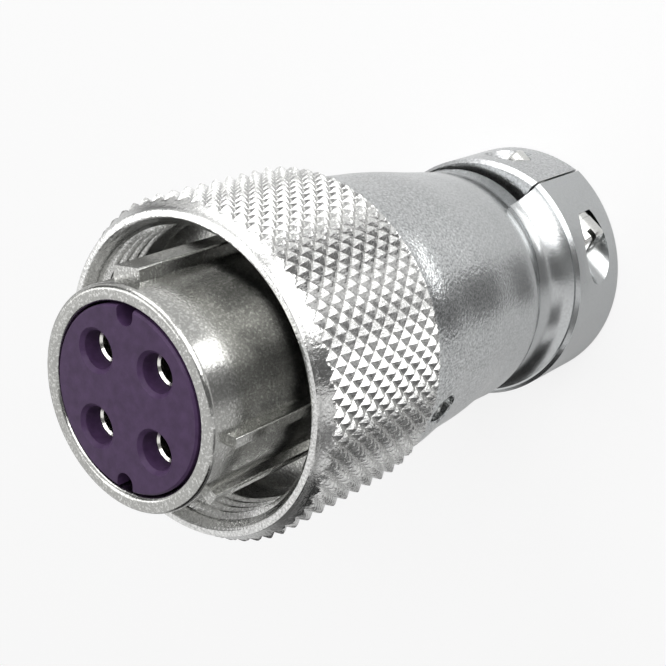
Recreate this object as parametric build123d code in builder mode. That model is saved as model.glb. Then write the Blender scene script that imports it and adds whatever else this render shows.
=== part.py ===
"""Four-way circular power connector, cable plug with a threaded coupling ring and a cable clamp.

Frame: millimetres, +Z is the mating direction (out of the barrel's mouth), the origin is the
centre of the clamp's rear face, X lies in the clamp's split plane and +Y is the side of the
loose saddle. The plug stands on its rear face.
"""
from build123d import *
from math import cos, pi, radians, sin
import os

os.makedirs("parts", exist_ok=True)

# Whole plug, along Z
z_rim = 63.6            # front rim of the barrel
z_flange_front = 48.0   # seat that the mating shell meets
z_flange_back = 45.5
z_ring_front = 55.95
z_ring_rear = 38.3
z_shell_shoulder = 38.0  # widest place of the back shell, just behind the ring
z_skirt = 15.6          # where the back shell's skirt ends, above the neck
z_cove = 13.4           # top of the cove that climbs to the clamp
z_neck = 12.4
z_neck_end = 10.0       # end of the neck under the saddle
z_clamp = 9.6           # front face of the clamp

# Radii, from the coupling ring inwards
r_ring = 17.0
ring_wall = 2.4
thread_depth = 0.65
running_gap = 0.3       # between pieces that turn or slide past each other
r_ring_rear = r_ring - 0.6
r_ring_skirt = r_ring - 1.4
r_thread_major = r_ring - ring_wall
r_thread_minor = r_thread_major - thread_depth
r_flange = r_thread_minor - 0.25
r_spigot = r_flange - 1.25
r_lip = r_spigot + 0.45
spigot_wall = 1.85
r_spigot_bore = r_spigot - spigot_wall

# Barrel and front shell
r_barrel = 10.69
barrel_wall = 1.64
r_barrel_bore = r_barrel - barrel_wall
z_spigot_end = 30.0
z_insert_seat = 46.5
z_key_front = z_rim - 1.8
rim_rounding = 0.5
key_root = 0.8          # how deep a key reaches into the barrel
key_rounding = 0.2

# Keys: angle from +X, width, radius of the top
keys = [
    (44.0, 3.3, r_barrel + 1.16),     # master key
    (-58.25, 1.1, r_barrel + 1.06),
    (-92.5, 1.4, r_barrel + 0.96),
    (146.25, 1.1, r_barrel + 1.06),   # far side, mirrored about the master key
    (180.5, 1.4, r_barrel + 0.96),
]

# Insert
r_insert = r_barrel_bore - 0.2
insert_chamfer = 0.2
r_insert_flange = r_spigot_bore - 0.1
z_insert_split = 42.0
z_insert_rear = 34.0
contact_circle = 0.5944 * r_insert
contact_start = -9.55
contact_count = 4
notch_angles = (35.45, -144.55)
notch_width = 2.0
notch_floor = r_insert - 1.7
notch_depth = 3.0
r_hole_mouth = 2.2

# Contacts
pin_diameter = 3.0
r_contact = 1.78
contact_recess = 2.0
z_socket_floor = 50.0
r_contact_collar = 2.3
collar_length = 2.0
z_cup_rear = 24.0
r_cup = 1.9
r_cup_bore = 1.3
cup_depth = 7.0
contact_play = 0.06
contact_lead_in = 0.2   # chamfer at the mouth of the pin bore

# Retaining ring of the insert
retainer_length = 2.5
r_retainer_bore = r_insert_flange - 2.9
retainer_slot = 1.6

# Coupling ring
z_thread_end = 49.0
z_thread_start = z_ring_front - 1.02
thread_lead_in = 0.47
r_mouth = r_ring - 1.95
z_lip_front = z_flange_back - running_gap
z_lip_back = 41.0
mouth_lip = 0.55        # flat front of the ring round its mouth
bead_height = 1.05
front_chamfer = 0.6
rear_chamfer = 0.8
knurl_count = 60        # V flutes round the band, the main form of its knurling
knurl_depth = 0.5
knurl_land = 0.25       # width left between two flutes

# Back shell: radius and the distance that the circle's centre lies below the axis, at each height
r_shell = r_ring_rear - 0.45
shell_sections = [
    (z_shell_shoulder, r_shell, 0.12),
    (35.0, r_shell - 0.47, 0.30),
    (31.6, r_shell - 0.93, 0.42),
    (27.6, r_shell - 1.29, 0.44),
    (23.6, r_shell - 1.75, 0.58),
    (19.6, r_shell - 2.29, 0.82),
    (z_skirt, r_shell - 2.75, 1.08),
    (14.0, r_shell - 3.32, 0.72),
    (z_neck, r_shell - 3.80, 0.35),
]
r_nose = r_ring_skirt - running_gap
z_nose = 40.2
r_spigot_seat = r_spigot + 0.05
z_seat_floor = 29.0
r_cavity_front = r_spigot - 0.85
r_neck = r_shell - 4.1
r_neck_bore = r_neck - 1.95
r_cavity_rear = r_neck_bore + 0.3
z_neck_seat = 10.4
r_cove = r_neck + 0.05
r_cove_lip = r_neck + 2.5
cove_drop = 0.8         # the cove and the fixed half are centred this far below the axis
cove_radius = 4.0
lip_chamfer = 0.4

# Spring washer between the ring's lip and the back shell
spring_washer = 0.4

# Set screw
set_screw_angle = -75.6
z_set_screw = 34.2
r_set_screw = 1.6
set_screw_play = 0.05
set_screw_length = 1.9
set_screw_socket = 1.6  # across flats
set_screw_socket_depth = 1.1
set_screw_seat = 0.15   # its point stays this far off the spigot
set_screw_mouth = 0.25  # countersink of its hole
r_set_screw_mouth = r_shell - 0.26   # where the hole leaves the shell

# Clamp
r_fixed_half = r_cove_lip + 0.6
r_saddle = r_fixed_half + 0.2
saddle_drop = 3.07      # the saddle is clamped in, so its circle is centred below the axis
split_gap = 0.15        # each half stays this far from the split plane
r_channel = r_neck - 3.65
dish_depth = 0.7        # hollow of the saddle's front face towards the neck
clamp_chamfer = 0.5
rear_rounding = 0.4
saddle_travel = 2.3     # opening stroke of the saddle, along +Y

# Clamp screws, parallel to Y
screw_x = r_fixed_half - 2.75
crown_rounding = 0.5
screw_tip_chamfer = 0.3
head_slot_depth = 1.1
head_slot_turn = 35
screw_z = 4.7
r_screw = 1.25
r_screw_hole = 1.4
r_saddle_thread = r_screw + 0.06   # running fit
screw_pitch = 0.45
y_screw_seat = -5.0
r_pocket = 2.5
r_head = 2.1
head_height = 2.5
head_slot = 0.6
washer_thickness = 0.7
y_screw_tip = 5.7
r_spot_face = 2.4
y_spot_face = 4.7

# Grommet
r_grommet = r_channel - running_gap
r_grommet_collar = r_neck_bore - 0.1
grommet_wall = 3.15
r_cable = r_grommet - grommet_wall
z_grommet_rear = 1.0
z_grommet_front = 14.0
grommet_washer_thickness = 0.8
r_grommet_washer_bore = r_cable + 1.25

# Half size of the cutting blocks and length of the through cuts, past every outside
reach = 2 * r_ring


def finish(builder, name):
    """Labels a finished piece and writes it."""
    builder.part.label = name
    export_step(builder.part, f"parts/{name}.step")
    print(name, round(builder.part.volume, 1), "mm3", len(builder.part.solids()), "solid")


# Front shell: barrel, keys, flange and rear spigot, turned and milled in one piece
with BuildPart() as front_shell:
    with BuildSketch(Plane.XZ):
        with BuildLine():
            Polyline(
                (r_barrel_bore, z_insert_seat),
                (r_barrel_bore, z_rim),
                (r_barrel, z_rim),
                (r_barrel, z_flange_front),
                (r_flange, z_flange_front),
                (r_flange, z_flange_back),
                (r_spigot, z_flange_back),
                (r_spigot, z_spigot_end),
                (r_spigot_bore, z_spigot_end),
                (r_spigot_bore, z_insert_seat),
                close=True,
            )
        make_face()
    revolve(axis=Axis.Z)
    rim = front_shell.edges().filter_by(GeomType.CIRCLE).group_by(Axis.Z)[-1]
    fillet(rim, rim_rounding)
    for angle, width, top in keys:
        with BuildSketch(Plane.XY.offset(z_flange_front)):
            with PolarLocations((top + r_barrel - key_root) / 2, 1, start_angle=angle):
                RectangleRounded(top - r_barrel + key_root, width, key_rounding)
        extrude(amount=z_key_front - z_flange_front)
finish(front_shell, "front_shell")


# Front insulator: the dark face with four stepped holes and two notches
hole_radius = r_contact + contact_play
with BuildPart() as insulator_front:
    with BuildSketch(Plane.XY.offset(z_insert_split)):
        Circle(r_insert_flange)
    extrude(amount=z_insert_seat - z_insert_split - 0.02)
    with BuildSketch(Plane.XY.offset(z_insert_split)):
        Circle(r_insert)
    extrude(amount=z_rim - z_insert_split)
    face_edge = insulator_front.edges().group_by(Axis.Z)[-1]
    chamfer(face_edge, insert_chamfer)
    with BuildSketch(Plane.XY.offset(z_insert_split)):
        with PolarLocations(contact_circle, contact_count, start_angle=contact_start):
            Circle(hole_radius)
    extrude(amount=z_rim - z_insert_split, mode=Mode.SUBTRACT)
    with BuildSketch(Plane.XY.offset(z_rim - notch_depth)):
        for angle in notch_angles:
            with PolarLocations(notch_floor + notch_width / 2, 1, start_angle=angle):
                Circle(notch_width / 2)
            with PolarLocations(notch_floor + notch_width, 1, start_angle=angle):
                Rectangle(notch_width, notch_width)
    extrude(amount=notch_depth, mode=Mode.SUBTRACT)
    mouths = (
        insulator_front.edges()
        .filter_by(GeomType.CIRCLE)
        .filter_by(lambda e: abs(e.radius - hole_radius) < 0.01)
        .group_by(Axis.Z)[-1]
    )
    chamfer(mouths, r_hole_mouth - hole_radius)
finish(insulator_front, "insulator_front")


# Rear insulator: holds the collars of the contacts against the front one
with BuildPart() as insulator_rear:
    with BuildSketch(Plane.XY.offset(z_insert_rear)):
        Circle(r_insert_flange)
        with PolarLocations(contact_circle, contact_count, start_angle=contact_start):
            Circle(r_cup + contact_play, mode=Mode.SUBTRACT)
    extrude(amount=z_insert_split - z_insert_rear)
    with BuildSketch(Plane.XY.offset(z_insert_split)):
        with PolarLocations(contact_circle, contact_count, start_angle=contact_start):
            Circle(r_contact_collar + contact_play)
    extrude(amount=-collar_length, mode=Mode.SUBTRACT)
finish(insulator_rear, "insulator_rear")


# Socket contacts: a bored front, a collar and a solder cup with a cut-away side
for number in range(contact_count):
    turn = contact_start + number * 360 / contact_count
    centre = (contact_circle * cos(radians(turn)), contact_circle * sin(radians(turn)))
    with BuildPart() as contact:
        with BuildSketch(Plane.XY.offset(z_cup_rear)):
            with Locations(centre):
                Circle(r_cup)
        extrude(amount=z_insert_split - collar_length - z_cup_rear)
        with BuildSketch(Plane.XY.offset(z_insert_split - collar_length)):
            with Locations(centre):
                Circle(r_contact_collar)
        extrude(amount=collar_length)
        with BuildSketch(Plane.XY.offset(z_insert_split)):
            with Locations(centre):
                Circle(r_contact)
        extrude(amount=z_rim - contact_recess - z_insert_split)
        with BuildSketch(Plane.XY.offset(z_rim - contact_recess)):
            with Locations(centre):
                Circle(pin_diameter / 2)
        extrude(amount=-(z_rim - contact_recess - z_socket_floor), mode=Mode.SUBTRACT)
        mouth = contact.edges().filter_by(GeomType.CIRCLE).group_by(Axis.Z)[-1]
        chamfer(mouth.sort_by(SortBy.RADIUS)[0], contact_lead_in)
        with BuildSketch(Plane.XY.offset(z_cup_rear)):
            with Locations(centre):
                Circle(r_cup_bore)
        extrude(amount=cup_depth, mode=Mode.SUBTRACT)
        with BuildSketch(Plane.XY.offset(z_cup_rear)):
            with PolarLocations(contact_circle + r_cup, 1, start_angle=turn):
                Rectangle(2 * r_cup, 2.5 * r_cup)
        extrude(amount=cup_depth - 2.0, mode=Mode.SUBTRACT)
    finish(contact, f"socket_contact_{number + 1}")


# Threaded ring that holds the insert in the spigot, with two spanner slots
with BuildPart() as insert_retainer:
    with BuildSketch(Plane.XY.offset(z_insert_rear - retainer_length)):
        Circle(r_insert_flange)
        Circle(r_retainer_bore, mode=Mode.SUBTRACT)
    extrude(amount=retainer_length)
    with BuildSketch(Plane.XY.offset(z_insert_rear - retainer_length)):
        Rectangle(2 * r_insert_flange + 1, retainer_slot)
    extrude(amount=retainer_length / 2, mode=Mode.SUBTRACT)
finish(insert_retainer, "insert_retainer")


# Coupling ring: bead and chamfer in front, fluted band, thread bore, relief, lip and rear skirt
with BuildPart() as coupling_ring:
    with BuildSketch(Plane.XZ):
        with BuildLine():
            Polyline(
                (r_thread_minor, z_thread_end),
                (r_thread_minor, z_thread_start - 0.7),
                (r_thread_minor + thread_lead_in, z_thread_start),
                (r_mouth, z_ring_front),
                (r_mouth + mouth_lip, z_ring_front),
                (r_mouth + 0.78, z_ring_front - 0.15),
                (r_mouth + 1.05, z_ring_front - bead_height),
                (r_ring, z_ring_front - bead_height - front_chamfer),
                (r_ring, z_ring_rear + rear_chamfer),
                (r_ring_rear, z_ring_rear),
                (r_ring_skirt, z_ring_rear),
                (r_ring_skirt, z_lip_back),
                (r_lip, z_lip_back),
                (r_lip, z_lip_front),
                (r_thread_major, z_lip_front),
                (r_thread_major, z_thread_end),
                close=True,
            )
        make_face()
    revolve(axis=Axis.Z)
    flute = pi * r_ring / knurl_count - knurl_land / 2   # half width at the ring's outside
    with BuildSketch(Plane.XY.offset(z_ring_rear)):
        with PolarLocations(r_ring, knurl_count, start_angle=180 / knurl_count):
            Polygon(
                (-knurl_depth, 0),
                (knurl_depth, 2 * flute),
                (knurl_depth, -2 * flute),
                align=None,
            )
    extrude(amount=z_ring_front - bead_height - z_ring_rear, mode=Mode.SUBTRACT)
finish(coupling_ring, "coupling_ring")


# Spring washer behind the lip
with BuildPart() as ring_spring_washer:
    with BuildSketch(Plane.XY.offset(z_nose)):
        Circle(r_nose - 0.8)
        Circle(r_spigot + 0.15, mode=Mode.SUBTRACT)
    extrude(amount=spring_washer)
finish(ring_spring_washer, "ring_spring_washer")


# Back shell, outside: skirt, neck, cove and the fixed half of the clamp
set_screw_plane = Plane(
    origin=(0, 0, z_set_screw),
    z_dir=(cos(radians(set_screw_angle)), sin(radians(set_screw_angle)), 0),
)
with BuildPart() as back_shell:
    # fixed half of the clamp
    with BuildSketch(Plane.XY):
        with Locations((0, -cove_drop)):
            Circle(r_fixed_half)
        with Locations((0, reach - split_gap)):
            Rectangle(2 * reach, 2 * reach, mode=Mode.SUBTRACT)
    extrude(amount=z_clamp)
    rims = back_shell.edges().filter_by(GeomType.CIRCLE).group_by(Axis.Z)
    chamfer(rims[-1], lip_chamfer)
    fillet(back_shell.edges().filter_by(GeomType.CIRCLE).group_by(Axis.Z)[0], rear_rounding)

    # cove: a hollow that climbs from the neck to the lip of the clamp
    with BuildSketch(Plane(origin=(0, -cove_drop, 0), x_dir=(1, 0, 0), z_dir=(0, -1, 0))):
        with BuildLine():
            Line((r_neck_bore, z_cove), (r_cove, z_cove))
            RadiusArc((r_cove, z_cove), (r_cove_lip, z_clamp), -cove_radius)
            Line((r_cove_lip, z_clamp), (r_cove_lip, z_clamp - 0.6))
            Line((r_cove_lip, z_clamp - 0.6), (r_neck_bore, z_clamp - 0.6))
            Line((r_neck_bore, z_clamp - 0.6), (r_neck_bore, z_cove))
        make_face()
    revolve(axis=Axis((0, -cove_drop, 0), (0, 0, 1)))
    with BuildSketch(Plane.XY):
        with Locations((0, reach - split_gap)):
            Rectangle(2 * reach, 2 * reach)
    extrude(amount=z_cove + 1, mode=Mode.SUBTRACT)

    # tapered shell, leaning towards the fixed half
    for height, radius, drop in shell_sections:
        with BuildSketch(Plane.XY.offset(height)):
            with Locations((0, -drop)):
                Circle(radius)
    loft()
    with BuildSketch(Plane.XY.offset(z_shell_shoulder)):
        Circle(r_nose)
    extrude(amount=z_nose - z_shell_shoulder)
    with BuildSketch(Plane.XY.offset(z_neck_end)):
        Circle(r_neck)
    extrude(amount=z_skirt - z_neck_end)

    # inside: seat of the spigot, wiring space, neck bore and channel
    with BuildSketch(Plane.XY.offset(z_seat_floor)):
        Circle(r_spigot_seat)
    extrude(amount=z_nose - z_seat_floor, mode=Mode.SUBTRACT)
    with BuildSketch(Plane.XZ):
        with BuildLine():
            Polyline(
                (0, z_grommet_front + 2),
                (r_cavity_rear, z_grommet_front + 2),
                (r_cavity_front, z_seat_floor),
                (0, z_seat_floor),
                close=True,
            )
        make_face()
    revolve(axis=Axis.Z, mode=Mode.SUBTRACT)
    with BuildSketch(Plane.XY.offset(z_neck_seat)):
        Circle(r_neck_bore)
    extrude(amount=z_grommet_front + 2 - z_neck_seat, mode=Mode.SUBTRACT)
    with BuildSketch(Plane.XY):
        Circle(r_channel)
    extrude(amount=z_neck_seat, mode=Mode.SUBTRACT)

    # the neck stops short of the saddle
    with BuildSketch(Plane.XY):
        with Locations((0, reach - split_gap)):
            Rectangle(2 * reach, 2 * reach)
    extrude(amount=z_neck_end, mode=Mode.SUBTRACT)

    # clamp screws: clearance holes and head pockets, open at the flank
    with BuildSketch(Plane.XZ.offset(-1)):
        with Locations((-screw_x, screw_z), (screw_x, screw_z)):
            Circle(r_screw_hole)
    extrude(amount=reach, mode=Mode.SUBTRACT)
    with BuildSketch(Plane.XZ.offset(-y_screw_seat)):
        with Locations((-screw_x, screw_z), (screw_x, screw_z)):
            Circle(r_pocket)
    extrude(amount=reach, mode=Mode.SUBTRACT)

    # radial hole of the set screw, with a countersunk mouth
    with BuildSketch(set_screw_plane):
        Circle(r_set_screw + set_screw_play)
    extrude(amount=reach, mode=Mode.SUBTRACT)
    with BuildSketch(set_screw_plane.offset(r_set_screw_mouth - set_screw_mouth)):
        Circle(r_set_screw + set_screw_play)
    extrude(amount=3 * set_screw_mouth, taper=-45, mode=Mode.SUBTRACT)
finish(back_shell, "back_shell")


# Set screw: bears on the spigot and locks the two shells together
with BuildPart() as set_screw:
    with BuildSketch(set_screw_plane.offset(r_spigot + set_screw_seat)):
        Circle(r_set_screw)
    extrude(amount=set_screw_length)
    with BuildSketch(set_screw_plane.offset(r_spigot + set_screw_seat + set_screw_length)):
        RegularPolygon(set_screw_socket / 2, 6, major_radius=False)
    extrude(amount=-set_screw_socket_depth, mode=Mode.SUBTRACT)
finish(set_screw, "set_screw")


# Clamp saddle
with BuildPart() as clamp_saddle:
    with BuildSketch(Plane.XY):
        with Locations((0, -saddle_drop)):
            Circle(r_saddle)
        with Locations((0, split_gap - reach)):
            Rectangle(2 * reach, 2 * reach, mode=Mode.SUBTRACT)
    extrude(amount=z_clamp)
    outer = (
        clamp_saddle.edges()
        .filter_by(GeomType.CIRCLE)
        .group_by(Axis.Z)
    )
    chamfer(outer[-1], clamp_chamfer)
    fillet(outer[0], rear_rounding)
    # dished front face, lower towards the neck
    with BuildSketch(Plane(origin=(0, -saddle_drop / 2, 0), x_dir=(1, 0, 0), z_dir=(0, -1, 0))):
        with BuildLine():
            Polyline(
                (0, z_clamp - dish_depth),
                (r_neck - 0.5, z_clamp - dish_depth),
                (r_saddle - 1.3, z_clamp - 0.05),
                (r_saddle - 1.3, z_clamp + 0.1),
                (0, z_clamp + 0.1),
                close=True,
            )
        make_face()
    revolve(axis=Axis((0, -saddle_drop / 2, 0), (0, 0, 1)), mode=Mode.SUBTRACT)
    with BuildSketch(Plane.XY):
        Circle(r_channel)
    extrude(amount=z_clamp, mode=Mode.SUBTRACT)
    with BuildSketch(Plane.XZ):
        with Locations((-screw_x, screw_z), (screw_x, screw_z)):
            Circle(r_saddle_thread)
    extrude(amount=-reach, mode=Mode.SUBTRACT)
    with BuildSketch(Plane.XZ.offset(-y_spot_face)):
        with Locations((-screw_x, screw_z), (screw_x, screw_z)):
            Circle(r_spot_face)
    extrude(amount=-reach, mode=Mode.SUBTRACT)
finish(clamp_saddle, "clamp_saddle")


# Clamp screws with slotted heads, each with a lock washer under its head
for side, name in ((1, "right"), (-1, "left")):
    head_seat = y_screw_seat - washer_thickness
    with BuildPart() as clamp_screw:
        with BuildSketch(Plane.XZ.offset(-head_seat)):
            with Locations((side * screw_x, screw_z)):
                Circle(r_head)
        extrude(amount=head_height)
        crown = clamp_screw.edges().filter_by(GeomType.CIRCLE).sort_by(Axis.Y)[0]
        fillet(crown, crown_rounding)
        with BuildSketch(Plane.XZ.offset(-head_seat)):
            with Locations((side * screw_x, screw_z)):
                Circle(r_screw)
        extrude(amount=-(y_screw_tip - head_seat))
        tip = clamp_screw.edges().filter_by(GeomType.CIRCLE).sort_by(Axis.Y)[-1]
        chamfer(tip, screw_tip_chamfer)
        with BuildSketch(Plane.XZ.offset(-head_seat + head_height)):
            with Locations((side * screw_x, screw_z)):
                Rectangle(2 * r_head + 1, head_slot, rotation=head_slot_turn)
        extrude(amount=-head_slot_depth, mode=Mode.SUBTRACT)
    finish(clamp_screw, f"clamp_screw_{name}")

    with BuildPart() as lock_washer:
        with BuildSketch(Plane.XZ.offset(-y_screw_seat)):
            with Locations((side * screw_x, screw_z)):
                Circle(r_head - 0.05)
                Circle(r_screw_hole, mode=Mode.SUBTRACT)
        extrude(amount=washer_thickness - 0.05)
    finish(lock_washer, f"lock_washer_{name}")


# Rubber grommet in the neck and the clamp's channel, with a cable bore
with BuildPart() as cable_grommet:
    with BuildSketch(Plane.XY.offset(z_grommet_rear)):
        Circle(r_grommet)
    extrude(amount=z_grommet_front - z_grommet_rear)
    with BuildSketch(Plane.XY.offset(z_neck_seat + 0.02)):
        Circle(r_grommet_collar)
    extrude(amount=z_grommet_front - z_neck_seat - 0.02)
    with BuildSketch(Plane.XY.offset(z_grommet_rear)):
        Circle(r_cable)
    extrude(amount=z_grommet_front - z_grommet_rear, mode=Mode.SUBTRACT)
finish(cable_grommet, "cable_grommet")


# Slip washer on top of the grommet
with BuildPart() as grommet_washer:
    with BuildSketch(Plane.XY.offset(z_grommet_front)):
        Circle(r_grommet_collar)
        Circle(r_grommet_washer_bore, mode=Mode.SUBTRACT)
    extrude(amount=grommet_washer_thickness)
finish(grommet_washer, "grommet_washer")
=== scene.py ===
# %% [markdown]
# A four-way circular power plug, dressed for a studio picture. What is left for Blender is the
# finish: the diamond knurling and the thread of the coupling ring, the plating on cast and turned
# metal, the moulded insert, the light and the camera.

# %% Start from the frame
import math
import bpy
import numpy as np
from mathutils import Matrix, Vector


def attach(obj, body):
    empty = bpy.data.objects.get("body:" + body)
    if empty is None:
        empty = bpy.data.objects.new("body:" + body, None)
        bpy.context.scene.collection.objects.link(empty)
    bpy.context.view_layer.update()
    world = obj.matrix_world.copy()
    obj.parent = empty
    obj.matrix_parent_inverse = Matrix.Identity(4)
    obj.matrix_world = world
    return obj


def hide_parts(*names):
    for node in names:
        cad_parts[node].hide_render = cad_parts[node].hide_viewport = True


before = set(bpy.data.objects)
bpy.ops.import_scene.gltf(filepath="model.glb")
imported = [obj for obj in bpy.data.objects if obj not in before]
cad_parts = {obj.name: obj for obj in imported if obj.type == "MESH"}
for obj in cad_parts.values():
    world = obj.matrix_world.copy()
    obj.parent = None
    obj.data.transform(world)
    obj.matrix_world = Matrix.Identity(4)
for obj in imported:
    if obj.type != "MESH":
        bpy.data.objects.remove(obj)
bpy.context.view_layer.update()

MM = 0.001

# %% [markdown]
# The camera comes first, because every choice of detail and light is judged through it.
# It was found from the rim, the coupling ring's mouth and the clamp: their circles turn into
# ellipses whose centres and tilts leave only one place for the lens. The plug points down to the
# left and towards the viewer, so the camera looks down at the standing plug and is rolled.

# %% Camera
camera_data = bpy.data.cameras.new("product_camera")
camera_data.sensor_width = 36.0
camera_data.lens = 71.518
camera_data.clip_start = 0.01
camera = bpy.data.objects.new("product_camera", camera_data)
# the columns are the camera's right, upward and backward directions
turn = Matrix((
    (0.496125, 0.601208, 0.626425),
    (-0.603684, 0.757405, -0.248802),
    (-0.624039, -0.254726, 0.738708),
))
camera.matrix_world = Matrix.Translation(Vector((86.000, -35.622, 136.933)) * MM) @ turn.to_4x4()
bpy.context.scene.collection.objects.link(camera)
bpy.context.scene.camera = camera
bpy.context.scene.view_settings.view_transform = "Standard"   # colours render as they are written
print("camera", round(camera.matrix_world.translation.length / MM), "mm from the rear face")

# %% [markdown]
# Surfaces here are grids of points: one parameter runs along a profile, the other round the axis.
# The helper takes the whole array of points, closes the grid in one or both directions, and
# hands vertices and faces to the mesh in bulk. Four-sided faces may be cut along either diagonal,
# which matters on knurling, where a crease has to follow a groove.


# %% From an array of points to a mesh
def grid_faces(rows, columns, close_rows, close_columns):
    """Corner numbers of every cell: (i, j), (i, j+1), (i+1, j+1), (i+1, j), wrapping where closed."""
    i = np.arange(rows if close_rows else rows - 1)[:, None]
    j = np.arange(columns if close_columns else columns - 1)[None, :]
    ni, nj = (i + 1) % rows, (j + 1) % columns
    corners = [i * columns + j, i * columns + nj, ni * columns + nj, ni * columns + j]
    return np.stack(corners, -1).reshape(-1, 4)


def cut_cells(cells, anti):
    """Two triangles for each four-sided cell: along its main diagonal, or along the other one where
    anti is true."""
    a, b, c, d = cells.T
    first = np.where(anti, np.stack([a, b, d]), np.stack([a, b, c])).T
    second = np.where(anti, np.stack([b, c, d]), np.stack([a, c, d])).T
    return np.concatenate([first, second])


def mesh_piece(name, points, faces, sharp_degrees=28.0):
    """Makes an object at the origin from points in metres and an array of faces, creased where faces
    meet at more than sharp_degrees."""
    mesh = bpy.data.meshes.new(name)
    mesh.vertices.add(len(points))
    mesh.vertices.foreach_set("co", np.ascontiguousarray(points, dtype=np.float32).ravel())
    count, sides = faces.shape
    mesh.loops.add(count * sides)
    mesh.loops.foreach_set("vertex_index", np.ascontiguousarray(faces, dtype=np.int32).ravel())
    mesh.polygons.add(count)
    mesh.polygons.foreach_set("loop_start", np.arange(0, count * sides, sides, dtype=np.int32))
    mesh.polygons.foreach_set("use_smooth", np.ones(count, dtype=bool))
    mesh.update(calc_edges=True)
    mesh.validate()
    mesh.set_sharp_from_angle(angle=math.radians(sharp_degrees))
    piece = bpy.data.objects.new(name, mesh)
    bpy.context.scene.collection.objects.link(piece)
    return piece


def signed_volume(points, faces):
    """Sum of the tetrahedra from the origin to every triangle; it is positive when faces point out."""
    a, b, c = (points[faces[:, k]] for k in range(3))
    return float(np.einsum("ij,ij->i", a, np.cross(b, c)).sum() / 6)


# %% [markdown]
# Knurling is rolled or cut as two families of V grooves that wind round the ring, one to the left
# and one to the right. Where they cross they leave small pyramids. Height is therefore easy to
# write: it is the smaller of the distances to the nearest groove of each family. The pattern
# repeats every 6 degrees round the ring and every 1.9 mm along it, which was counted on the ring.
# The thread inside is the same idea with one winding groove.


# %% Knurl and thread as functions of angle and height
RING_RADIUS = 17.0            # over the pyramids, mm
KNURL_COUNT = 60              # pyramids round the ring
KNURL_STEP = 1.90             # height of one repeat, mm
KNURL_DEPTH = 0.55            # from a tip to the bottom of a groove, mm
KNURL_PHASE = (-0.45, 47.1)   # a pyramid's angle in degrees and its height in mm
THREAD_PITCH = 1.28           # mm
THREAD_ROOT = 14.6            # radius at the bottom of the thread's groove, mm
THREAD_CREST = 13.95          # radius on the thread's tips, mm
THREAD_START = 48.95          # height where the thread begins, mm
THREAD_RUN_OUT = 0.6          # height over which it reaches its full depth, mm


def triangle_wave(x):
    """0 at whole numbers, 1 halfway between them, straight lines in between."""
    return 2 * np.abs(x - np.round(x))


def knurl_height(theta, z):
    """The smaller of two triangle waves, each running across one family of grooves; a little is cut
    off the tip, as the roll wears it flat."""
    a = (np.degrees(theta) - KNURL_PHASE[0]) * KNURL_COUNT / 360
    b = (z - KNURL_PHASE[1]) / KNURL_STEP
    height = np.minimum(triangle_wave(a + b + 0.5), triangle_wave(a - b + 0.5))
    return np.minimum(1.0, 1.12 * height)


def thread_height(theta, z):
    """1 on the crest and 0 in the root of a right-hand thread: a wave of the height less the share
    of the pitch that one turn climbs, with its tips cut flat."""
    wave = triangle_wave(z / THREAD_PITCH - theta / (2 * np.pi))
    return np.clip(1.35 * wave - 0.18, 0, 1)


print("knurl repeat round the ring:", round(2 * math.pi * RING_RADIUS / KNURL_COUNT, 2), "mm")

# %% [markdown]
# The ring is one closed surface: its profile goes down the outside, in at the rear, up past the
# lip and the thread, and out again at the mouth. Rows sit close together only where the knurl and
# the thread need them: eight rows and eight columns to each pyramid, eight rows to each turn of the
# thread. On the outside the radius is the smaller of the turned profile and the knurled one, so the
# grooves run out in the front and rear chamfers as they do on the real ring.


# %% The ring's profile
CELLS = 8                        # rows and columns to each pyramid, rows to each turn of the thread
PLAIN, KNURLED, THREADED = 0, 1, 2
KNURL_BAND = (38.35, 54.95)      # heights between which the rows follow the knurl, mm


def ring_profile():
    """The ring's cross-section as rows of radius and height in mm, from the front edge down the
    outside and back up the inside, with the kind of surface that each row lies on."""
    step = KNURL_STEP / CELLS
    band_top = KNURL_PHASE[1] + step * np.floor((KNURL_BAND[1] - KNURL_PHASE[1]) / step)
    band = np.arange(band_top, KNURL_BAND[0], -step)
    front = [(15.12, 55.95), (15.55, 55.95), (15.72, 55.90), (15.80, 55.80), (15.86, 55.60),
             (16.00, 55.35), (16.13, 55.10)]
    turned = np.interp(band, [38.3, 39.1, 53.9, 54.9], [16.4, RING_RADIUS, RING_RADIUS, 16.25])
    outside = np.stack([turned, band], -1)
    rear = [(16.4, 38.3), (15.9, 38.3), (15.6, 38.3), (15.6, 38.6), (15.6, 40.7), (15.6, 41.0),
            (15.3, 41.0), (13.2, 41.0), (12.9, 41.0), (12.9, 41.3), (12.9, 44.9), (12.9, 45.2),
            (13.2, 45.2), (14.3, 45.2), (14.6, 45.2), (14.6, 45.5), (14.6, 48.7)]
    turns = np.arange(THREAD_START, 54.93, THREAD_PITCH / CELLS)
    thread = np.stack([np.full_like(turns, THREAD_CREST), turns], -1)
    mouth = [(14.42, 54.98), (14.60, 55.22), (14.85, 55.62), (14.98, 55.84)]
    stretches = [front, outside, rear, thread, mouth]
    kinds = np.repeat([PLAIN, KNURLED, PLAIN, THREADED, PLAIN], [len(rows) for rows in stretches])
    top_level = round((band_top - KNURL_PHASE[1]) / step) + len(front)
    return np.concatenate(stretches), kinds[:, None], top_level


print("rows of the ring's profile:", len(ring_profile()[0]))


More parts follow.
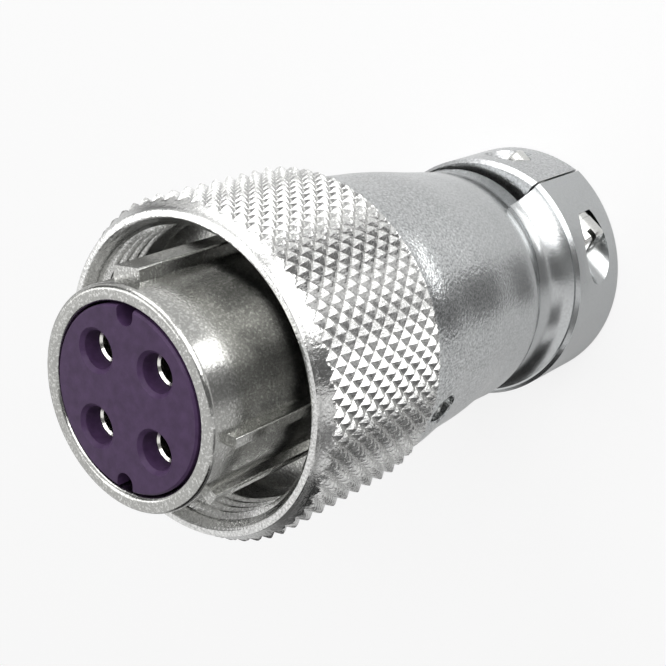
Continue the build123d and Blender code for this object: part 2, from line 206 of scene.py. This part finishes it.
# %% Coupling ring
def coupling_ring():
    """Radius of each row from its profile: the smaller of the turned radius and the knurled one
    outside, the larger of the thread's radius and the mouth's cone inside."""
    profile, kinds, top_level = ring_profile()
    columns = KNURL_COUNT * CELLS
    theta = np.arange(columns) * 2 * np.pi / columns + math.radians(KNURL_PHASE[0])
    radius = np.repeat(profile[:, :1], columns, 1)
    height = np.repeat(profile[:, 1:], columns, 1)
    angle = np.repeat(theta[None, :], len(profile), 0)
    knurled = RING_RADIUS - KNURL_DEPTH * (1 - knurl_height(angle, height))
    radius = np.where(kinds == KNURLED, np.minimum(radius, knurled), radius)
    run_out = np.clip((height - THREAD_START) / THREAD_RUN_OUT, 0, 1)
    crest = np.minimum(thread_height(angle, height), run_out)
    cone = np.clip(THREAD_CREST + (height - 54.23) * 0.67, THREAD_CREST, THREAD_ROOT)
    threaded = np.maximum(THREAD_ROOT - (THREAD_ROOT - THREAD_CREST) * crest, cone)
    radius = np.where(kinds == THREADED, threaded, radius)
    points = np.stack([radius * np.cos(angle), radius * np.sin(angle), height], -1)
    points = points.reshape(-1, 3) * MM
    cells = grid_faces(len(profile), columns, True, True)
    # A cell whose other diagonal lies at the bottom of a groove is cut along it. Level counts the
    # rows upwards from a pyramid's tip, so a groove of this family keeps column less level.
    row, column = cells[:, 0] // columns, cells[:, 0] % columns
    level = top_level - row
    faces = cut_cells(cells, (column + 1 - level) % CELLS == CELLS // 2)
    if signed_volume(points, faces) < 0:
        faces = faces[:, ::-1]
    return points, faces, len(profile)


ring_points, ring_faces, ring_rows = coupling_ring()
knurled_ring = mesh_piece("knurled_ring", ring_points, ring_faces)
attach(knurled_ring, "ring")
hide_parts("coupling_ring")
print("coupling ring:", ring_rows, "rows,", len(ring_faces), "triangles")

# %% [markdown]
# Die-cast metal under nickel looks white, but it isn't a mirror: the mould leaves a fine sandy
# skin, and the plating follows it. The shader is a metal with a medium roughness. Noise drives
# the roughness, and a finer noise drives the bump, so each grain tilts its highlight a little. The
# clamp end is smoother than the skirt, so the shell's grain fades towards it.
# All patterns read object coordinates, which are metres in the CAD frame.


# %% Node helpers
def new_material(name):
    """An empty node material with its output and principled shader."""
    material = bpy.data.materials.new(name)
    material.use_nodes = True
    nodes = material.node_tree.nodes
    shader = nodes["Principled BSDF"]
    return material, nodes, material.node_tree.links, shader


def noise(nodes, links, coordinates, scale, detail):
    """A noise texture whose scale is in lumps per metre; each level of detail adds finer ones."""
    texture = nodes.new("ShaderNodeTexNoise")
    texture.inputs["Scale"].default_value = scale
    texture.inputs["Detail"].default_value = detail
    texture.inputs["Roughness"].default_value = 0.55
    links.new(coordinates, texture.inputs["Vector"])
    return texture.outputs["Fac"]


def span(nodes, links, value, low, high, new_low, new_high):
    """Maps a value from one range to another and holds it at the ends."""
    node = nodes.new("ShaderNodeMapRange")
    node.inputs["From Min"].default_value = low
    node.inputs["From Max"].default_value = high
    node.inputs["To Min"].default_value = new_low
    node.inputs["To Max"].default_value = new_high
    links.new(value, node.inputs["Value"])
    return node.outputs["Result"]


def blend_colours(nodes, links, factor, dark, light):
    """A colour between dark and light by the factor."""
    node = nodes.new("ShaderNodeMix")
    node.data_type = "RGBA"
    node.inputs["A"].default_value = (*dark, 1)
    node.inputs["B"].default_value = (*light, 1)
    links.new(factor, node.inputs["Factor"])
    return node.outputs["Result"]


def calculate(nodes, links, operation, *values):
    """The result of a Math node; each value is a number or the output of another node."""
    node = nodes.new("ShaderNodeMath")
    node.operation = operation
    for socket, value in zip(node.inputs, values):
        if isinstance(value, float):
            socket.default_value = value
        else:
            links.new(value, socket)
    return node.outputs[0]


def separate(nodes, links, place):
    """The X, Y and Z of a place as a node's outputs."""
    node = nodes.new("ShaderNodeSeparateXYZ")
    links.new(place, node.inputs[0])
    return node.outputs


# %% Plated metal
DRIFT_LUMPS = 260         # slow changes of roughness, lumps per metre
FADED_GRAIN = 0.12        # share of the grain that is left where it fades


def plated(name, dark, light, rough, grain_scale, grain_depth, specks=(0.30, 0.70), fade=None):
    """Metal with a speckle in its colour, a slow drift in its roughness and a grain in its bump. The
    noise levels in specks turn from dark to light. The grain may fade with height: almost none at
    fade[0] metres, all of it at fade[1]."""
    material, nodes, links, shader = new_material(name)
    place = nodes.new("ShaderNodeTexCoord").outputs["Object"]
    slow = noise(nodes, links, place, DRIFT_LUMPS, 3)
    speckle = noise(nodes, links, place, grain_scale * 1.6, 2)
    grain = noise(nodes, links, place, grain_scale, 2)
    factor = span(nodes, links, speckle, *specks, 0, 1)
    if fade:
        amount = span(nodes, links, separate(nodes, links, place)["Z"], *fade, FADED_GRAIN, 1)
        grain = calculate(nodes, links, "MULTIPLY", grain, amount)
        centred = span(nodes, links, speckle, 0.3, 0.7, -0.5, 0.5)
        faded = calculate(nodes, links, "MULTIPLY", centred, amount)
        factor = span(nodes, links, faded, -0.5, 0.5, 0, 1)
    links.new(blend_colours(nodes, links, factor, dark, light), shader.inputs["Base Color"])
    links.new(span(nodes, links, slow, 0.3, 0.7, rough - 0.03, rough + 0.03), shader.inputs["Roughness"])
    shader.inputs["Metallic"].default_value = 1.0
    bump = nodes.new("ShaderNodeBump")
    bump.inputs["Strength"].default_value = 1.0
    bump.inputs["Distance"].default_value = grain_depth
    links.new(grain, bump.inputs["Height"])
    links.new(bump.outputs["Normal"], shader.inputs["Normal"])
    return material


# name, dark colour, light colour, roughness, lumps of grain per metre, depth of grain in metres
cast_shell = plated("cast_shell_nickel", (0.24, 0.246, 0.248), (0.71, 0.725, 0.73),
                    0.22, 2600, 0.00006, fade=(0.014, 0.034))
turned_barrel = plated("turned_barrel_nickel", (0.38, 0.38, 0.365), (0.70, 0.70, 0.68),
                       0.20, 2600, 0.000015, specks=(0.50, 0.75))
# the knurled ring's nickel is painted lighter than the other nickel here: painted light, standing in for
# the brighter light that its facets catch
knurl_nickel_painted_lighter = plated("knurled_ring_nickel_painted_lighter", (0.48, 0.48, 0.47), (0.76, 0.76, 0.75),
                     0.20, 2800, 0.000035)
clamp_metal = plated("clamp_nickel", (0.36, 0.365, 0.37), (0.62, 0.63, 0.635),
                     0.30, 2400, 0.00006)
screw_metal = plated("screw_zinc", (0.55, 0.55, 0.53), (0.75, 0.75, 0.73), 0.20, 5000, 0.00001)
contact_metal = plated("contact_silver", (0.70, 0.69, 0.64), (0.85, 0.84, 0.80),
                       0.18, 5000, 0.000005)
brass_metal = plated("retainer_brass", (0.62, 0.55, 0.38), (0.72, 0.64, 0.44), 0.30, 4000, 0.00001)
print("materials so far, with the frame's own:", len(bpy.data.materials))

# %% [markdown]
# The insert is a glass-filled moulding. It is dark purple, half matt, and a close look shows a
# slight mottle. The grommet is plain black rubber.


# %% Plastic and rubber
MOTTLE_LUMPS = 900        # changes of colour, lumps per metre


def moulded(name, dark, light, rough, grain_scale, grain_depth):
    """A plastic or rubber whose colour is mottled by noise and whose skin has a slight texture."""
    material, nodes, links, shader = new_material(name)
    place = nodes.new("ShaderNodeTexCoord").outputs["Object"]
    mottle = noise(nodes, links, place, MOTTLE_LUMPS, 4)
    fine = noise(nodes, links, place, grain_scale, 2)
    factor = span(nodes, links, mottle, 0.3, 0.7, 0, 1)
    links.new(blend_colours(nodes, links, factor, dark, light), shader.inputs["Base Color"])
    links.new(span(nodes, links, fine, 0.3, 0.7, rough - 0.06, rough + 0.06), shader.inputs["Roughness"])
    bump = nodes.new("ShaderNodeBump")
    bump.inputs["Distance"].default_value = grain_depth
    links.new(fine, bump.inputs["Height"])
    links.new(bump.outputs["Normal"], shader.inputs["Normal"])
    shader.inputs["Specular IOR Level"].default_value = 0.2
    return material


insert_plastic = moulded("insert_purple", (0.046, 0.023, 0.062), (0.070, 0.037, 0.094),
                         0.45, 5000, 0.00001)
grommet_rubber = moulded("grommet_rubber", (0.010, 0.010, 0.010), (0.022, 0.022, 0.022),
                         0.6, 3500, 0.00002)
print("materials now, with the frame's own:", len(bpy.data.materials))

# %% Finishes on the pieces
finishes = {
    "front_shell": turned_barrel, "back_shell": cast_shell, "clamp_saddle": clamp_metal,
    "insulator_front": insert_plastic, "insulator_rear": insert_plastic,
    "insert_retainer": brass_metal, "ring_spring_washer": screw_metal, "set_screw": screw_metal,
    "clamp_screw_right": screw_metal, "clamp_screw_left": screw_metal,
    "lock_washer_right": screw_metal, "lock_washer_left": screw_metal,
    "grommet_washer": screw_metal, "cable_grommet": grommet_rubber, "coupling_ring": knurl_nickel_painted_lighter,
}
finishes.update({f"socket_contact_{number}": contact_metal for number in (1, 2, 3, 4)})
for node_name, material in finishes.items():
    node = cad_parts[node_name]
    if not node.material_slots:
        node.data.materials.append(material)
    for material_slot in node.material_slots:
        material_slot.material = material
knurled_ring.data.materials.append(knurl_nickel_painted_lighter)
print("finished nodes:", len(finishes))

# %% [markdown]
# A plain studio: a pale floor, a white surround and four soft lamps, one of them low and close for
# the light that the floor throws back. Nickel shows what is round it, so dark cards stand outside
# the picture and give the curved metal its darker bands, as black flags do in a product photograph.
# A cylinder also mirrors the floor before it, so some of the cards lie there. The floor's own glow
# is for the camera alone: polished metal that mirrors an even white floor loses its shading.

# %% Floor
FLOOR_HALF = 1.5          # metres
FLOOR_GLOW = 0.80         # share of plain white in what the camera sees of the floor

floor_points = np.array([(-1, -1, 0), (1, -1, 0), (1, 1, 0), (-1, 1, 0)]) * FLOOR_HALF
floor = mesh_piece("studio_floor", floor_points, np.array([[0, 1, 2, 3]]))
floor_material, nodes, links, shader = new_material("pale_floor")
shader.inputs["Base Color"].default_value = (0.90, 0.90, 0.90, 1)
shader.inputs["Roughness"].default_value = 0.8
glow = nodes.new("ShaderNodeEmission")
glow.inputs["Strength"].default_value = 1.0
floor_mix = nodes.new("ShaderNodeMixShader")
camera_ray = nodes.new("ShaderNodeLightPath").outputs["Is Camera Ray"]
links.new(calculate(nodes, links, "MULTIPLY", camera_ray, FLOOR_GLOW), floor_mix.inputs[0])
links.new(shader.outputs[0], floor_mix.inputs[1])
links.new(glow.outputs[0], floor_mix.inputs[2])
links.new(floor_mix.outputs[0], nodes["Material Output"].inputs["Surface"])
floor.data.materials.append(floor_material)
print("floor:", 2 * FLOOR_HALF, "m wide, share of white", FLOOR_GLOW)

# %% Surround
WORLD_LIGHT = 0.30        # strength of the surround where it lights dull surfaces


def seen_directly(nodes, links):
    """1 for camera, glossy and transmission rays, 0 for the rays that carry light to dull surfaces."""
    path = nodes.new("ShaderNodeLightPath")
    result = path.outputs["Is Camera Ray"]
    for name in ("Is Glossy Ray", "Is Transmission Ray"):
        result = calculate(nodes, links, "MAXIMUM", result, path.outputs[name])
    return result


world = bpy.data.worlds.new("white_surround")
bpy.context.scene.world = world
world.use_nodes = True
nodes, links = world.node_tree.nodes, world.node_tree.links
nodes.clear()
lit = nodes.new("ShaderNodeBackground")
lit.inputs["Color"].default_value = (1, 1, 1, 1)
lit.inputs["Strength"].default_value = WORLD_LIGHT
white = nodes.new("ShaderNodeBackground")
white.inputs["Color"].default_value = (1, 1, 1, 1)
white.inputs["Strength"].default_value = 1.0
choose = nodes.new("ShaderNodeMixShader")
links.new(seen_directly(nodes, links), choose.inputs[0])
links.new(lit.outputs[0], choose.inputs[1])
links.new(white.outputs[0], choose.inputs[2])
links.new(choose.outputs[0], nodes.new("ShaderNodeOutputWorld").inputs[0])
print("world: light", WORLD_LIGHT, "seen as 1.0")


# %% Soft lamps
MIDDLE = Vector((0.0, 0.0, 0.035))   # what lamps and cards face, metres
BOUNCE_AZIMUTH, BOUNCE_DISTANCE = -10, 0.075   # of the lamp that stands in for the floor's light


def from_object(azimuth, elevation, distance):
    """The point at a distance from the plug's middle, by azimuth from +X and elevation, in degrees."""
    a, e = math.radians(azimuth), math.radians(elevation)
    away = Vector((math.cos(a) * math.cos(e), math.sin(a) * math.cos(e), math.sin(e)))
    return away * distance + MIDDLE


def facing_plug(place):
    """A matrix at place whose -Z looks at the plug's middle and whose Y leans upwards."""
    return Matrix.Translation(place) @ (MIDDLE - place).to_track_quat("-Z", "Y").to_matrix().to_4x4()


def soft_lamp(name, azimuth, elevation, distance, width, height, watts):
    """A rectangular lamp of the given size in metres, hidden from the camera itself."""
    data = bpy.data.lights.new(name, "AREA")
    data.shape = "RECTANGLE"
    data.size, data.size_y, data.energy = width, height, watts
    lamp = bpy.data.objects.new(name, data)
    lamp.matrix_world = facing_plug(from_object(azimuth, elevation, distance))
    lamp.visible_camera = False
    bpy.context.scene.collection.objects.link(lamp)
    return lamp


# name, azimuth, elevation, distance, width, height, watts
soft_lamp("tall_softbox", -3, 32, 0.50, 0.36, 0.60, 2.0)
soft_lamp("right_softbox", 50, 22, 0.50, 0.40, 0.42, 1.2)
soft_lamp("top_softbox", 125, 50, 0.50, 0.25, 0.25, 0.4)
bounce = soft_lamp("floor_bounce", BOUNCE_AZIMUTH, 0, BOUNCE_DISTANCE, 0.030, 0.070, 0.022)
# this one lies on the floor with its face up and its long side pointing at the plug
beside = from_object(BOUNCE_AZIMUTH, 0, BOUNCE_DISTANCE)
bounce.matrix_world = (
    Matrix.Translation(Vector((beside.x, beside.y, 0.002)))
    @ Matrix.Rotation(math.radians(BOUNCE_AZIMUTH + 90), 4, "Z")
    @ Matrix.Rotation(math.pi, 4, "X")
)
print("lamps:", len(bpy.data.lights))

# %% Dark cards
CARD_GAP = 0.0015         # height of a floor card over the floor, metres


def card_piece(name, corners, grey):
    """A four-cornered card that only reflections see."""
    card = mesh_piece(name, corners, np.array([[0, 1, 2, 3]]))
    material, nodes, links, shader = new_material(name)
    shader.inputs["Base Color"].default_value = (grey, grey, grey, 1)
    shader.inputs["Roughness"].default_value = 1.0
    card.data.materials.append(material)
    card.visible_camera = False
    card.visible_shadow = False
    card.visible_diffuse = False
    return card


def dark_card(name, azimuth, elevation, distance, width, height, grey):
    """A card that faces the plug's middle."""
    half = np.array([width, height, 0]) / 2
    corners = half * np.array([(-1, -1, 0), (1, -1, 0), (1, 1, 0), (-1, 1, 0)])
    matrix = np.array(facing_plug(from_object(azimuth, elevation, distance)))
    return card_piece(name, corners @ matrix[:3, :3].T + matrix[:3, 3], grey)


def floor_card(name, azimuth, spread, near, far, grey):
    """A card just over the floor, between two distances from the axis, azimuth +- spread in degrees.
    It fades out towards its sides and its near edge, so that polished faces mirror no hard border."""
    a = np.radians([azimuth - spread, azimuth + spread, azimuth + spread, azimuth - spread])
    r = np.array([near, near, far, far])
    corners = np.stack([r * np.cos(a), r * np.sin(a), np.full(4, CARD_GAP)], -1)
    card = card_piece(name, corners, grey)
    nodes, links = card.active_material.node_tree.nodes, card.active_material.node_tree.links
    place = nodes.new("ShaderNodeTexCoord").outputs["Object"]
    axes = separate(nodes, links, place)
    bearing = calculate(nodes, links, "ARCTAN2", axes["Y"], axes["X"])
    offset = calculate(nodes, links, "SUBTRACT", bearing, math.radians(azimuth))
    apart = calculate(nodes, links, "ABSOLUTE", offset)
    reach = nodes.new("ShaderNodeVectorMath")
    reach.operation = "LENGTH"
    links.new(place, reach.inputs[0])
    sides = span(nodes, links, apart, math.radians(0.4 * spread), math.radians(spread), 1, 0)
    start = span(nodes, links, reach.outputs["Value"], near, near + 0.008, 0, 1)
    fade = nodes.new("ShaderNodeMixShader")
    links.new(calculate(nodes, links, "MULTIPLY", sides, start), fade.inputs[0])
    links.new(nodes.new("ShaderNodeBsdfTransparent").outputs[0], fade.inputs[1])
    links.new(nodes["Principled BSDF"].outputs[0], fade.inputs[2])
    links.new(fade.outputs[0], nodes["Material Output"].inputs["Surface"])
    return card


# name, azimuth, elevation, distance, width, height, grey; on the floor: name, azimuth, spread,
# nearest and farthest distance from the axis, grey
cards = [
    dark_card("right_flag", -45, 42, 0.42, 0.20, 0.80, 0.14),
    dark_card("rear_flag", -135, 8, 0.40, 0.42, 0.30, 0.02),
    dark_card("side_flag", -85, 12, 0.42, 0.14, 0.24, 0.25),
    floor_card("rear_floor", -130, 34, 0.080, 0.380, 0.15),
    floor_card("back_floor", 97, 20, 0.070, 0.260, 0.25),
    dark_card("back_flag", 100, 32, 0.42, 0.28, 0.20, 0.20),
    floor_card("floor_flag", -42, 22, 0.018, 0.125, 0.26),
]
print("cards:", len(cards))
